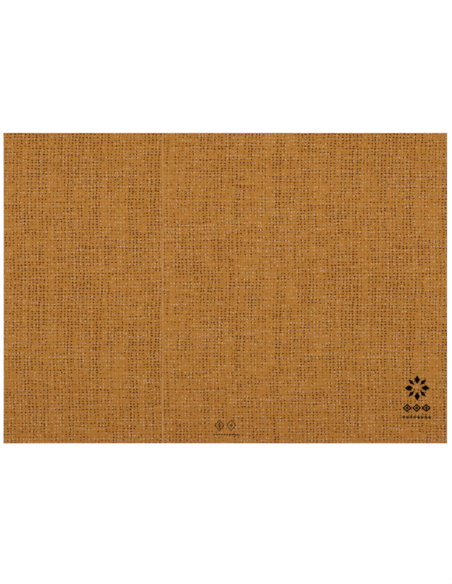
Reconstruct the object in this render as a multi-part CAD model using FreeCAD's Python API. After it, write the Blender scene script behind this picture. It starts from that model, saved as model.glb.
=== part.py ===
# Disposable paper placemat: one flat sheet of recycled kraft paper, guillotined to size.
# It lies printed face up. The origin is the middle of its underside: +X runs along the
# long sides, +Y points away from the diner and +Z is up through the paper.
# Lengths are in millimetres.
import FreeCAD, Part
import os

# Driving dimensions
sheet_length = 500.0  # long side, along X
sheet_width = 350.0  # short side, along Y
paper_caliper = 0.1  # thickness of a 70 g/m2 kraft sheet


def trimmed_outline(length, width):
    """Closed wire that the guillotine leaves: four straight cuts that meet in square corners."""
    half_length = length / 2
    half_width = width / 2
    corners = [
        FreeCAD.Vector(-half_length, -half_width, 0),
        FreeCAD.Vector(half_length, -half_width, 0),
        FreeCAD.Vector(half_length, half_width, 0),
        FreeCAD.Vector(-half_length, half_width, 0),
    ]
    return Part.makePolygon(corners + corners[:1])


def paper_sheet():
    """The whole placemat: the trimmed outline, filled and carried up through the paper's caliper."""
    underside = Part.Face(trimmed_outline(sheet_length, sheet_width))
    return underside.extrude(FreeCAD.Vector(0, 0, paper_caliper))


os.makedirs("parts", exist_ok=True)
paper_sheet().exportStep("parts/paper_sheet.step")
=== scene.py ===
# A disposable placemat of recycled brown kraft paper, printed with a hessian weave.
# The sheet lies face up on a white table, seen from straight above, in soft studio light.
import math

import bpy
import numpy as np
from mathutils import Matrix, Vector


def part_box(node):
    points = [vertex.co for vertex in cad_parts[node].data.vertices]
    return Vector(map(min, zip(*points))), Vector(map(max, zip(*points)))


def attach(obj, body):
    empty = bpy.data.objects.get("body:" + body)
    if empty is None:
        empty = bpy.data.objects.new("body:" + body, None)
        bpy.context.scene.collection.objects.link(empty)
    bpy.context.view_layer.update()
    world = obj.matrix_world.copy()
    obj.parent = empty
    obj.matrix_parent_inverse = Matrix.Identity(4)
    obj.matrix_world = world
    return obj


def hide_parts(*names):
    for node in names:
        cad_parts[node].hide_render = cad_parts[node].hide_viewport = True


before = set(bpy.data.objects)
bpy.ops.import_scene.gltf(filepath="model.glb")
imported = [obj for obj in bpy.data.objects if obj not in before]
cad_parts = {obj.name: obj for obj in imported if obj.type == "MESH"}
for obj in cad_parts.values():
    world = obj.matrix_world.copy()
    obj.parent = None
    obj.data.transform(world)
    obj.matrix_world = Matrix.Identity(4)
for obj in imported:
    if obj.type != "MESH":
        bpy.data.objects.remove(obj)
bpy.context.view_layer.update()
sheetLow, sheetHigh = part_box("paper_sheet")
sheetLength = sheetHigh[0] - sheetLow[0]
sheetWidth = sheetHigh[1] - sheetLow[1]
caliper = sheetHigh[2] - sheetLow[2]
print("frame loaded with", *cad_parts, round(sheetLength, 4), "x", round(sheetWidth, 4), "m")


class Field:
    # One output socket of a material, so that shader maths can be written as plain sums.

    def __init__(self, tree, socket=None):
        self.tree = tree
        self.socket = socket

    def node(self, kind, settings=None, inputs=None, output=0):
        # any node: its settings go first, then the values or links of its sockets
        made = self.tree.nodes.new(kind)
        for name, value in (settings or {}).items():
            setattr(made, name, value)
        for name, value in (inputs or {}).items():
            if isinstance(value, Field):
                self.tree.links.new(value.socket, made.inputs[name])
            else:
                made.inputs[name].default_value = value
        return Field(self.tree, made.outputs[output] if len(made.outputs) else None)

    def other(self, name):
        # another output of the same node
        return Field(self.tree, self.socket.node.outputs[name])

    def maths(self, operation, *others):
        values = [self, *others]
        return self.node("ShaderNodeMath", {"operation": operation}, dict(enumerate(values)))

    def __add__(self, other):
        return self.maths("ADD", other)

    def __radd__(self, other):
        return self.maths("ADD", other)

    def __sub__(self, other):
        return self.maths("SUBTRACT", other)

    def __rsub__(self, other):
        return self.node("ShaderNodeMath", {"operation": "SUBTRACT"}, {0: other, 1: self})

    def __mul__(self, other):
        return self.maths("MULTIPLY", other)

    def __rmul__(self, other):
        return self.maths("MULTIPLY", other)

    def __truediv__(self, other):
        return self.maths("DIVIDE", other)

    def __abs__(self):
        return self.maths("ABSOLUTE")

    def floor(self):
        return self.maths("FLOOR")

    def round(self):
        return self.maths("ROUND")

    def largest(self, other):
        return self.maths("MAXIMUM", other)

    def smallest(self, other):
        return self.maths("MINIMUM", other)

    def rising(self, low, high):
        # 0 below low, 1 above high, smooth between
        return self.node(
            "ShaderNodeMapRange",
            {"interpolation_type": "SMOOTHSTEP"},
            {"Value": self, "From Min": low, "From Max": high},
        )

    def between(self, first, second):
        # this value is a mask: the first colour where it is 0, the second where it is 1
        inputs = {0: self, 6: first, 7: second}
        return self.node("ShaderNodeMix", {"data_type": "RGBA"}, inputs, output=2)


def vector(x, y, z=0.0):
    source = next(part for part in (x, y, z) if isinstance(part, Field))
    return source.node("ShaderNodeCombineXYZ", inputs={"X": x, "Y": y, "Z": z})


def channels(colour):
    # three values from the one colour that a noise gives
    red = colour.node("ShaderNodeSeparateColor", inputs={"Color": colour})
    return [red, red.other("Green"), red.other("Blue")]


def cloudy(x, y, seed, detail=0.0):
    # three smooth random values between 0 and 1, which change over about one unit
    noise = x.node(
        "ShaderNodeTexNoise",
        {"noise_dimensions": "3D"},
        {"Vector": vector(x, y, seed), "Scale": 1.0, "Detail": detail},
        output="Color",
    )
    return channels(noise)


def scattered(x, y, seed):
    # three unrelated random values between 0 and 1 for each whole x and y
    noise = x.node(
        "ShaderNodeTexWhiteNoise",
        {"noise_dimensions": "3D"},
        {"Vector": vector(x, y, seed)},
        output="Color",
    )
    return channels(noise)


def newMaterial(name):
    material = bpy.data.materials.new(name)
    material.use_nodes = True
    material.node_tree.nodes.clear()
    return material, Field(material.node_tree)


def linear(red, green, blue):
    # a colour as a picture program gives it, 0 to 255, as the shader wants it
    shades = [value / 255 for value in (red, green, blue)]
    return [s / 12.92 if s <= 0.04045 else ((s + 0.055) / 1.055) ** 2.4 for s in shades] + [1.0]


def grey(value):
    # a neutral colour, from 0, black, to 1, white
    return [value, value, value, 1.0]


weave = {
    "dark": {
        "seed": 3.0,
        "columnPitch": 4.085,  # mm between the upright yarns
        "rowPitch": 3.17,  # mm between the yarns that lie across
        "columnDrift": 1.5,  # pitches by which the columns drift off an even spacing
        "rowDrift": 2.0,
        "columnSway": 1.7,  # pitches by which all the columns bend aside together
        "columnJitter": 0.52,  # pitches by which one column wanders along its length
        "rowJitter": 0.67,
        "holeJitter": 0.28,  # pitches by which one hole lies off its place
        "columnRun": 45.8,  # mm over which a column of holes keeps its strength
        "rowRun": 36.3,
        "holeWidth": 0.41,  # of a pitch, from a hole's middle to its end
        "holeHeight": 0.448,
        "edgeLow": 0.07,  # the ink begins at this level of a hole and is full at the next
        "edgeHigh": 0.52,
        "strength": 0.605,  # of a hole on average, and then how much it varies
        "columnVariety": 1.08,
        "rowVariety": 1.4,
        "holeVariety": 0.5,
        "bandWidth": 11.3,  # mm across a band of neighbouring columns that are strong or weak
        "bandRun": 311.0,  # mm along it
        "bandVariety": 1.3,
        "cover": 0.95,  # how much of the paper the ink hides where it is full
    },
    "pale": {
        "seed": 83.0,
        "columnPitch": 4.04,
        "rowPitch": 3.196,
        "columnDrift": 1.7,
        "rowDrift": 3.3,
        "columnSway": 2.0,
        "columnJitter": 0.75,
        "rowJitter": 0.15,
        "holeJitter": 0.27,
        "columnRun": 50.0,
        "rowRun": 108.7,
        "holeWidth": 0.41,
        "holeHeight": 0.42,
        "edgeLow": 0.04,
        "edgeHigh": 0.58,
        "strength": 0.39,
        "columnVariety": 0.42,
        "rowVariety": 0.53,
        "holeVariety": 0.5,
        "bandWidth": 8.0,
        "bandRun": 350.0,
        "bandVariety": 0.5,
        "cover": 0.62,
    },
    # the rest is the same for both inks
    "driftLength": 100.0,  # mm over which the spacing drifts
    "driftDetail": 1.0,
    "swayLength": 80.0,  # mm down the columns over which they bend aside
    "noiseLine": 0.5,  # noise is flat on whole numbers, so a line through it runs between two
    "runDetail": 1.0,
    "bandDetail": 2.0,
    "yarnStep": 5.37,  # far enough between two yarns that their noise has nothing in common
    "wobbleLength": 0.7,  # mm between the wobbles of a hole's rim
    "wobble": 0.12,  # pitches
    "layers": {"rowDrift": 7, "column": 11, "row": 23, "hole": 37, "wobble": 41, "band": 51, "sway": 61},
}


def wovenHoles(across, down, look):
    # The holes of a plain weave, one to each crossing of a column and a row. The spacing
    # drifts, all the columns bend aside together, and each yarn wanders a little and has a
    # strength of its own that changes along it.
    # level = (1 - distance across / width) x (1 - distance down / height) x strength
    seeds = {name: look["seed"] + step for name, step in weave["layers"].items()}
    reach = weave["driftLength"]
    detail = weave["driftDetail"]
    columnDrift = cloudy(across / reach, weave["noiseLine"], look["seed"], detail)[0] - 0.5
    rowDrift = cloudy(down / reach, weave["noiseLine"], seeds["rowDrift"], detail)[0] - 0.5
    sway = cloudy(down / weave["swayLength"], weave["noiseLine"], seeds["sway"], detail)[0] - 0.5
    column = across / look["columnPitch"] + columnDrift * look["columnDrift"] + sway * look["columnSway"]
    row = down / look["rowPitch"] + rowDrift * look["rowDrift"]
    columnId = column.floor()
    rowId = row.floor()
    yarnStep = weave["yarnStep"]
    alongColumn = cloudy(columnId * yarnStep, down / look["columnRun"], seeds["column"], weave["runDetail"])
    alongRow = cloudy(rowId * yarnStep, across / look["rowRun"], seeds["row"], weave["runDetail"])
    single = scattered(columnId, rowId, seeds["hole"])
    wobble = cloudy(across / weave["wobbleLength"], down / weave["wobbleLength"], seeds["wobble"])
    band = cloudy(across / look["bandWidth"], down / look["bandRun"], seeds["band"], weave["bandDetail"])[0]
    fromColumn = column - columnId - 0.5 + (alongColumn[1] - 0.5) * look["columnJitter"]
    fromRow = row - rowId - 0.5 + (alongRow[1] - 0.5) * look["rowJitter"]
    fromColumn = fromColumn + (wobble[0] - 0.5) * weave["wobble"] + (single[1] - 0.5) * look["holeJitter"]
    fromRow = fromRow + (wobble[1] - 0.5) * weave["wobble"] + (single[2] - 0.5) * look["holeJitter"]
    width = 1 - abs(fromColumn) / look["holeWidth"]
    height = 1 - abs(fromRow) / look["holeHeight"]
    power = (
        (alongColumn[0] - 0.5) * look["columnVariety"]
        + (alongRow[0] - 0.5) * look["rowVariety"]
        + (single[0] - 0.5) * look["holeVariety"]
        + (band - 0.5) * look["bandVariety"]
        + look["strength"]
    )
    level = width.largest(0.0) * height.largest(0.0) * power
    return level.rising(look["edgeLow"], look["edgeHigh"]) * look["cover"]


# The printed ornament is made of lozenges only: a rosette over two borders in the lower
# right corner, and a pair over a fine border at the middle of the lower edge. All in mm.
ornament = {
    "rosettePlace": (216.2, -112.6),
    "rosetteSpokes": 8,
    "rosetteMiddle": 9.3,  # from the centre to the middle of a lozenge
    "rosetteHalfLength": 5.2,
    "rosetteHalfWidths": (3.5, 2.3),  # of every other lozenge in turn
    "softness": 0.3,  # over which an edge of the print fades
    "borders": [
        # a line of 0 fills the lozenge, and ink is how strongly it is printed
        {"place": (215.6, -135.1), "count": 3, "pitch": 10.8, "half": (5.4, 4.9), "line": 1.7, "ink": 1.0},
        {"place": (215.6, -135.1), "count": 3, "pitch": 10.8, "half": (2.0, 1.8), "line": 0.0, "ink": 1.0},
        {"place": (215.5, -145.6), "count": 8, "pitch": 4.15, "half": (2.1, 2.2), "line": 0.0, "ink": 0.85},
        {"place": (-0.1, -154.7), "count": 2, "pitch": 13.4, "half": (5.8, 7.1), "line": 1.3, "ink": 0.7},
        {"place": (-0.1, -154.7), "count": 2, "pitch": 13.4, "half": (2.1, 2.6), "line": 0.0, "ink": 0.7},
        {"place": (0.5, -165.2), "count": 10, "pitch": 2.95, "half": (1.5, 1.4), "line": 0.0, "ink": 0.75},
    ],
}


def lozenge(x, y, halfWidth, halfHeight, line=0.0):
    # depth = (1 - |x| / half width - |y| / half height) x the distance from centre to side
    reach = halfWidth * halfHeight / (halfWidth**2 + halfHeight**2) ** 0.5
    depth = (1 - abs(x) / halfWidth - abs(y) / halfHeight) * reach
    if line:
        depth = line / 2 - abs(depth - line / 2)
    return depth.rising(-ornament["softness"], ornament["softness"])


def border(x, y, row):
    # a row of lozenges, x folded back onto the nearest one
    half = (row["count"] - 1) / 2
    fromPlace = x - row["place"][0]
    nearest = (fromPlace / row["pitch"] + half).round().largest(0.0).smallest(2 * half) - half
    return lozenge(fromPlace - nearest * row["pitch"], y - row["place"][1], *row["half"], row["line"])


def rosette(x, y):
    # lozenges like the hours of a clock: the point is turned back onto the nearest spoke
    fromX = x - ornament["rosettePlace"][0]
    fromY = y - ornament["rosettePlace"][1]
    step = 2 * math.pi / ornament["rosetteSpokes"]
    spoke = (fromY.maths("ARCTAN2", fromX) / step).round()
    cosine = (spoke * step).maths("COSINE")
    sine = (spoke * step).maths("SINE")
    outwards = fromX * cosine + fromY * sine - ornament["rosetteMiddle"]
    sideways = fromY * cosine - fromX * sine
    odd = spoke.maths("PINGPONG", 1.0)
    wide, slim = [
        lozenge(outwards, sideways, ornament["rosetteHalfLength"], half)
        for half in ornament["rosetteHalfWidths"]
    ]
    return wide * (1 - odd) + slim * odd


def printedMarks(x, y):
    # the rosette and all the borders, whichever is the strongest
    marks = rosette(x, y)
    for row in ornament["borders"]:
        marks = marks.largest(border(x, y, row) * row["ink"])
    return marks


paper = {
    "seeds": {"clouds": 5.0, "tooth": 9.0, "fibres": 15.0, "specks": 21.0},
    "fibreTilts": (14.0, 63.0, 118.0, 161.0),  # degrees, the ways that the fibres lie
    "fibreLength": 3.6,  # mm
    "fibreSpread": 0.8,  # mm between neighbouring fibres
    "fibreFineness": 0.04,
    "fibreShown": (0.48, 0.62),
    "fibreStep": 9.0,  # between the seeds of two tilts
    "fibreRelief": 0.5,  # how much a pale fibre stands out, in heights of the tooth
    "cloudLength": 14.0,  # mm across the clouds in the pulp
    "cloudDetail": 3.0,
    "speckPitch": 4.4,  # mm between the places where a speck may lie
    "speckShare": 0.72,  # of those places stay empty
    "speckSize": 0.42,  # mm, the radius of the largest
    "speckStray": 0.7,  # of the pitch, how far a speck may lie off the middle
    "speckSoftness": 0.08,
    "toothLength": 0.45,  # mm across the bumps of the surface
    "toothDetail": 2.0,
    "toothHeight": 0.000018,  # metres
    "toothStrength": 0.6,
}


def fibres(x, y):
    # thin level lines of a noise that is stretched along the fibres, one noise for each tilt;
    # two of its channels give the pale and the dark fibres, and the third breaks them off
    pale = dark = None
    for number, tilt in enumerate(paper["fibreTilts"]):
        cosine = math.cos(math.radians(tilt))
        sine = math.sin(math.radians(tilt))
        along = (x * cosine + y * sine) / paper["fibreLength"]
        aside = (y * cosine - x * sine) / paper["fibreSpread"]
        noise = cloudy(along, aside, paper["seeds"]["fibres"] + number * paper["fibreStep"])
        shown = noise[1].rising(*paper["fibreShown"])
        bright = shown * (1 - abs(noise[0] - 0.5).rising(0.0, paper["fibreFineness"]))
        dull = (1 - shown) * (1 - abs(noise[2] - 0.5).rising(0.0, paper["fibreFineness"]))
        pale = bright if pale is None else pale.largest(bright)
        dark = dull if dark is None else dark.largest(dull)
    return pale, dark


def specks(x, y):
    # a round speck in some of the squares of a grid, off the middle by a random step:
    # level = radius - distance from the speck's middle, and a radius below 0 shows nothing
    column = x / paper["speckPitch"]
    row = y / paper["speckPitch"]
    chance = scattered(column.floor(), row.floor(), paper["seeds"]["specks"])
    fromX = (column.maths("FRACT") - 0.5 - (chance[0] - 0.5) * paper["speckStray"]) * paper["speckPitch"]
    fromY = (row.maths("FRACT") - 0.5 - (chance[1] - 0.5) * paper["speckStray"]) * paper["speckPitch"]
    distance = (fromX * fromX + fromY * fromY).maths("SQRT")
    radius = (chance[2] - paper["speckShare"]) * (paper["speckSize"] / (1 - paper["speckShare"]))
    return (radius - distance).rising(-paper["speckSoftness"], paper["speckSoftness"])


def paperSurface(start):
    # what both sides of the paper share: the place in mm, clouds, tooth, fibres, specks, bump
    place = start.node("ShaderNodeTexCoord", output="Object")
    x = place.node("ShaderNodeSeparateXYZ", inputs={"Vector": place})
    y = x.other("Y") * 1000
    x = x * 1000
    seeds = paper["seeds"]
    cloudLength = paper["cloudLength"]
    toothLength = paper["toothLength"]
    clouds = cloudy(x / cloudLength, y / cloudLength, seeds["clouds"], paper["cloudDetail"])
    tooth = cloudy(x / toothLength, y / toothLength, seeds["tooth"], paper["toothDetail"])
    paleFibres, darkFibres = fibres(x, y)
    relief = {
        "Strength": paper["toothStrength"],
        "Distance": paper["toothHeight"],
        "Height": tooth[0] + paleFibres * paper["fibreRelief"],
    }
    return {
        "x": x,
        "y": y,
        "clouds": clouds[0],
        "tooth": tooth[1],
        "paleFibres": paleFibres,
        "darkFibres": darkFibres,
        "specks": specks(x, y),
        "bump": start.node("ShaderNodeBump", inputs=relief),
    }


def barePaper(surface, look):
    # the pulp's two shades with its fibres and specks over them
    shades = {name: linear(*look[name]) for name in ("deep", "light", "paleFibre", "darkFibre", "speck")}
    colour = surface["clouds"].rising(*look["cloudRange"]).between(shades["deep"], shades["light"])
    colour = (surface["paleFibres"] * look["fibreInk"]).between(colour, shades["paleFibre"])
    colour = (surface["darkFibres"] * look["fibreInk"]).between(colour, shades["darkFibre"])
    return (surface["specks"] * look["speckInk"]).between(colour, shades["speck"])


artwork = {
    "join": -70.65,  # mm, where one repeat of the artwork ends and the next begins
    "repeat": 353.4,  # mm
    "darkSeam": 81.8,  # mm after the join, where the artwork was itself pieced together
    "paleSeam": 70.2,
    "jump": 501.7,  # mm that the weave moves on by at such a seam
    "repeatBelow": 61.0,  # mm up the sheet: below it the dark ink is the same again
    "repeatDown": 170.2,  # mm
    "joinWidth": (0.3, 0.8),  # mm from the join, where its pale line begins and ends to fade
    "joinInk": 0.165,
    "joinVariety": 0.5,
    "joinRun": 8.0,  # mm along the line over which its ink changes
    "joinSeed": 9.0,
    "darkGap": -70.3,  # mm, the middle of a gap in the dark ink along the join
    "darkGapWidth": (0.6, 1.1),
}

printedLook = {
    "deep": (178, 117.9, 46.6),
    "light": (182, 120.9, 48.6),
    "paleFibre": (198, 146, 82),
    "darkFibre": (150, 92, 36),
    "speck": (104, 64, 28),
    "cloudRange": (0.3, 0.7),
    "fibreInk": 0.14,
    "speckInk": 0.3,
    "paintedShadeColour": (164, 82, 40),  # painted shade: the ground is a little deeper and redder towards the lower edge, where the light falls off
    "paintedShadeStrength": 0.095,
    "paintedShadeReach": (75.0, 170.0),  # mm below the middle, where that begins and is full
    "darkInk": (87, 31, 20),
    "paleInk": (217, 200, 169),
    "blackInk": (4, 3, 2),
    "darkKept": 0.6,  # how far the pale ink keeps off the dark
    "roughness": 0.87,
    "toothRoughness": 0.1,
    "inkGloss": 0.08,  # how much smoother the ink is
    "shine": 0.03,
}


def paperShader(start, surface, look, colour, gloss=0.0):
    # roughness = the paper's own - gloss + the unevenness of its tooth
    shader = {
        "Base Color": colour,
        "Roughness": look["roughness"] - gloss + (surface["tooth"] - 0.5) * look["toothRoughness"],
        "Specular IOR Level": look["shine"],
        "Normal": surface["bump"],
    }
    shader = start.node("ShaderNodeBsdfPrincipled", inputs=shader)
    start.node("ShaderNodeOutputMaterial", inputs={"Surface": shader})


def printedFace():
    # painted shade deepens the paper towards the lower edge, then both inks go over the paper, then the
    # pale line where two repeats meet, then the ornament
    material, start = newMaterial("printed_face")
    surface = paperSurface(start)
    x = surface["x"]
    y = surface["y"]
    across = (x - artwork["join"]).maths("WRAP", artwork["repeat"], 0.0)
    darkAcross = across + across.maths("GREATER_THAN", artwork["darkSeam"]) * artwork["jump"]
    paleAcross = across + across.maths("GREATER_THAN", artwork["paleSeam"]) * artwork["jump"]
    darkDown = y + y.maths("LESS_THAN", artwork["repeatBelow"]) * artwork["repeatDown"]
    joinLine = 1 - abs(x - artwork["join"]).rising(*artwork["joinWidth"])
    joinCloud = cloudy(y / artwork["joinRun"], weave["noiseLine"], artwork["joinSeed"], weave["bandDetail"])
    joinInk = (joinCloud[0] - 0.5) * artwork["joinVariety"] + artwork["joinInk"]
    darkGap = 1 - abs(x - artwork["darkGap"]).rising(*artwork["darkGapWidth"])
    dark = wovenHoles(darkAcross, darkDown, weave["dark"]) * (1 - darkGap)
    pale = wovenHoles(y, paleAcross, weave["pale"])
    marks = printedMarks(x, y)
    darkInk, paleInk, blackInk = [linear(*printedLook[ink]) for ink in ("darkInk", "paleInk", "blackInk")]
    # painted shade: the ground turns darker and redder towards the lower edge, where the light falls off
    lower = (0 - y).rising(*printedLook["paintedShadeReach"]) * printedLook["paintedShadeStrength"]
    ground = lower.between(barePaper(surface, printedLook), linear(*printedLook["paintedShadeColour"]))
    colour = dark.between(ground, darkInk)
    colour = (pale * (1 - dark * printedLook["darkKept"])).between(colour, paleInk)
    colour = (joinLine * joinInk).between(colour, paleInk)
    colour = marks.between(colour, blackInk)
    paperShader(start, surface, printedLook, colour, dark.largest(marks) * printedLook["inkGloss"])
    return material


kraftLook = {
    "deep": (172, 124, 72),
    "light": (192, 146, 93),
    "paleFibre": (220, 184, 138),
    "darkFibre": (142, 98, 54),
    "speck": (88, 58, 32),
    "cloudRange": (0.25, 0.75),
    "fibreInk": 0.4,
    "speckInk": 0.7,
    "roughness": 0.9,
    "toothRoughness": 0.12,
    "shine": 0.08,
}


def bareKraft():
    # the back and the cut edges
    material, start = newMaterial("bare_kraft")
    surface = paperSurface(start)
    paperShader(start, surface, kraftLook, barePaper(surface, kraftLook))
    return material


sheetForm = {
    "gridStep": 0.005,  # metres between the points of the surface
    "sharpAngle": 40.0,  # degrees, so that only the cut edge is sharp
    "wave": 0.0005,  # metres, half the height of the long waves
    "waves": [(21, 9, 0.4), (8, -27, 1.9), (17, 19, 4.1)],  # radians a metre in x, in y, start
    "cockle": 0.00007,  # metres, half the height of the short ones
    "cockles": [(61, 23, 0.4), (27, -88, 1.9), (93, 71, 4.1)],
    "cornerLift": 0.0012,  # metres
    "cornerShare": (0.6, 0.4),  # of the lift, the part at every corner and the part that varies
    "cornerVaries": (9, 17),  # radians a metre in x and in y
    "cornerReach": 7,  # the higher, the nearer to the corner the lift begins
}

sheetMap = {
    "margin": 0.003,  # the map is 1 wide; the printed face takes its whole width
    "underScale": 0.4,
    "rimLeft": 0.42,
    "rimStep": 0.0055,  # width of one face of the rim
    "rimHeight": 0.01,
    "rimPitch": 0.03,
}


def slantedWaves(x, y, waves):
    # mean of sin(x times one number + y times another + start)
    return sum(np.sin(x * inX + y * inY + start) for inX, inY, start in waves) / len(waves)


def lieOfSheet(x, y):
    # height = long slanted waves + short slanted waves + a lift that grows towards each corner
    # as a power of |x y|, all lowered until the lowest point touches the table
    height = slantedWaves(x, y, sheetForm["waves"]) * sheetForm["wave"]
    height = height + slantedWaves(x, y, sheetForm["cockles"]) * sheetForm["cockle"]
    towards = np.abs(x * y) / (sheetLength * sheetWidth / 4)
    same, varied = sheetForm["cornerShare"]
    inX, inY = sheetForm["cornerVaries"]
    share = same + varied * np.sin(x * inX + y * inY)
    height = height + towards ** sheetForm["cornerReach"] * share * sheetForm["cornerLift"]
    return height - height.min()


def mapOfSheet(x, y, quads, rimSides):
    # The printed face at full width, the back smaller below it, each side of the rim a strip:
    # place on the map = place on the sheet / length x scale + margin
    margin = sheetMap["margin"]
    across = (x.ravel() - sheetLow[0]) / sheetLength
    along = (y.ravel() - sheetLow[1]) / sheetLength
    spot = np.stack([across, along], -1)
    face = spot * (1 - 2 * margin) + [margin, 1 - margin - sheetWidth / sheetLength * (1 - 2 * margin)]
    under = spot * sheetMap["underScale"] + margin
    side = np.repeat(np.arange(4), rimSides)
    place = np.concatenate([np.arange(count) for count in rimSides])
    left = sheetMap["rimLeft"] + place * sheetMap["rimStep"]
    low = margin + side * sheetMap["rimPitch"]
    step = [(0, 0), (1, 0), (1, 1), (0, 1)]
    size = [sheetMap["rimStep"], sheetMap["rimHeight"]]
    rim = np.stack([left, low], -1)[:, None] + np.array(step) * size
    return np.concatenate([face[quads], under[quads[:, ::-1]], rim]).reshape(-1, 2)


def makeSheet(face, bare):
    # under = (x, y, lie of the sheet) on a grid, upper = the same a caliper higher, and a rim
    # of one row of quads closes the two
    columns = round(sheetLength / sheetForm["gridStep"]) + 1
    rows = round(sheetWidth / sheetForm["gridStep"]) + 1
    x, y = np.meshgrid(
        np.linspace(sheetLow[0], sheetHigh[0], columns), np.linspace(sheetLow[1], sheetHigh[1], rows)
    )
    under = np.stack([x, y, lieOfSheet(x, y)], -1).reshape(-1, 3)
    upper = under + [0, 0, caliper]
    ids = np.arange(rows * columns).reshape(rows, columns)
    quads = np.stack([ids[:-1, :-1], ids[:-1, 1:], ids[1:, 1:], ids[1:, :-1]], -1).reshape(-1, 4)
    rim = np.concatenate([ids[0, :-1], ids[:-1, -1], ids[-1, :0:-1], ids[:0:-1, 0]])
    after = np.roll(rim, -1)
    count = rows * columns
    edges = np.stack([rim + count, after + count, after, rim], -1)
    faces = np.concatenate([quads, quads[:, ::-1] + count, edges])
    mesh = bpy.data.meshes.new("placemat")
    mesh.from_pydata(np.concatenate([upper, under]).tolist(), [], faces.tolist())
    mesh.materials.append(face)
    mesh.materials.append(bare)
    isBare = np.arange(len(faces)) >= len(quads)  # the back and the rim
    mesh.polygons.foreach_set("material_index", isBare.astype(int))
    mesh.polygons.foreach_set("use_smooth", np.ones(len(faces), bool))
    chart = mapOfSheet(x, y, quads, [columns - 1, rows - 1, columns - 1, rows - 1])
    mesh.uv_layers.new(name="OFBake").data.foreach_set("uv", chart.ravel())
    mesh.update()
    mesh.set_sharp_from_angle(angle=math.radians(sheetForm["sharpAngle"]))
    sheet = bpy.data.objects.new("placemat", mesh)
    bpy.context.scene.collection.objects.link(sheet)
    return sheet


printed = printedFace()
kraft = bareKraft()
print("paper and print made,", len(printed.node_tree.nodes) + len(kraft.node_tree.nodes), "nodes")

sheet = makeSheet(printed, kraft)
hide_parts("paper_sheet")
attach(sheet, "root")
print("sheet made,", len(sheet.data.polygons), "faces")

studio = {
    "skyStrength": 0.541,
    "lampLength": 2.0,
    "lampWidth": 0.12,
    "lampPlace": (0.0, 0.4, 0.65),
    "lampDip": 20.0,  # degrees below level that the lamp points
    "lampPower": 7.1,
    "floorSize": 4.0,
    "floorGlow": 0.86,
    "floorShade": 0.2,
    "floorBounce": 0.8,
    "white": 1.0,
}


def whiteToCamera(start, lit, shown):
    # one shader lights the object, another is what the camera and reflections see
    rays = start.node("ShaderNodeLightPath", output="Is Camera Ray")
    seen = rays.largest(rays.other("Is Glossy Ray")).largest(rays.other("Is Transmission Ray"))
    return start.node("ShaderNodeMixShader", inputs={0: seen, 1: lit, 2: shown})


def makeWorld():
    world = bpy.data.worlds.new("studio")
    bpy.context.scene.world = world
    world.use_nodes = True
    tree = world.node_tree
    tree.nodes.clear()
    start = Field(tree)
    white = grey(studio["white"])
    lit = start.node("ShaderNodeBackground", inputs={"Strength": studio["skyStrength"], "Color": white})
    shown = start.node("ShaderNodeBackground", inputs={"Strength": 1.0, "Color": white})
    start.node("ShaderNodeOutputWorld", inputs={"Surface": whiteToCamera(start, lit, shown)})


def makeFloor():
    # a square table, a sheet's thickness below the sheet so that the two don't share a plane
    half = studio["floorSize"] / 2
    drop = -caliper
    mesh = bpy.data.meshes.new("table")
    corners = [(-half, -half, drop), (half, -half, drop), (half, half, drop), (-half, half, drop)]
    mesh.from_pydata(corners, [], [(0, 1, 2, 3)])
    material, start = newMaterial("white_table")
    white = grey(studio["white"])
    glow = start.node("ShaderNodeEmission", inputs={"Strength": studio["floorGlow"], "Color": white})
    shadow = start.node("ShaderNodeBsdfDiffuse", inputs={"Color": grey(studio["floorShade"])})
    shown = start.node("ShaderNodeAddShader", inputs={0: glow, 1: shadow})
    lit = start.node("ShaderNodeBsdfDiffuse", inputs={"Color": grey(studio["floorBounce"])})
    start.node("ShaderNodeOutputMaterial", inputs={"Surface": whiteToCamera(start, lit, shown)})
    mesh.materials.append(material)
    table = bpy.data.objects.new("table", mesh)
    bpy.context.scene.collection.objects.link(table)


def makeLamp():
    # a long strip beyond the far edge of the sheet
    light = bpy.data.lights.new("strip", "AREA")
    light.shape = "RECTANGLE"
    light.size = studio["lampLength"]
    light.size_y = studio["lampWidth"]
    light.energy = studio["lampPower"]
    lamp = bpy.data.objects.new("strip", light)
    lamp.location = studio["lampPlace"]
    lamp.rotation_euler = (math.radians(studio["lampDip"] - 90), 0, 0)
    lamp.visible_camera = False
    bpy.context.scene.collection.objects.link(lamp)


camera = {
    "lens": 85.0,  # mm
    "sensor": 36.0,  # mm along the picture's longer side
    "filled": 0.9812,  # share of the picture's width that the sheet fills
    "aim": (0.0007, -0.0044),  # metres, the middle of the picture
    "picture": (452, 584),  # its width and height
}


def makeCamera():
    # height = the length seen along the longer side x lens / sensor
    lens = bpy.data.cameras.new("overhead")
    lens.lens = camera["lens"]
    lens.sensor_width = camera["sensor"]
    across, high = camera["picture"]
    view = sheetLength / camera["filled"] * high / across
    eye = bpy.data.objects.new("overhead", lens)
    eye.location = (*camera["aim"], sheetHigh[2] + view * camera["lens"] / camera["sensor"])
    bpy.context.scene.collection.objects.link(eye)
    bpy.context.scene.camera = eye


makeWorld()
makeFloor()
makeLamp()
makeCamera()
bpy.context.scene.view_settings.view_transform = "Standard"
print("studio and camera set")
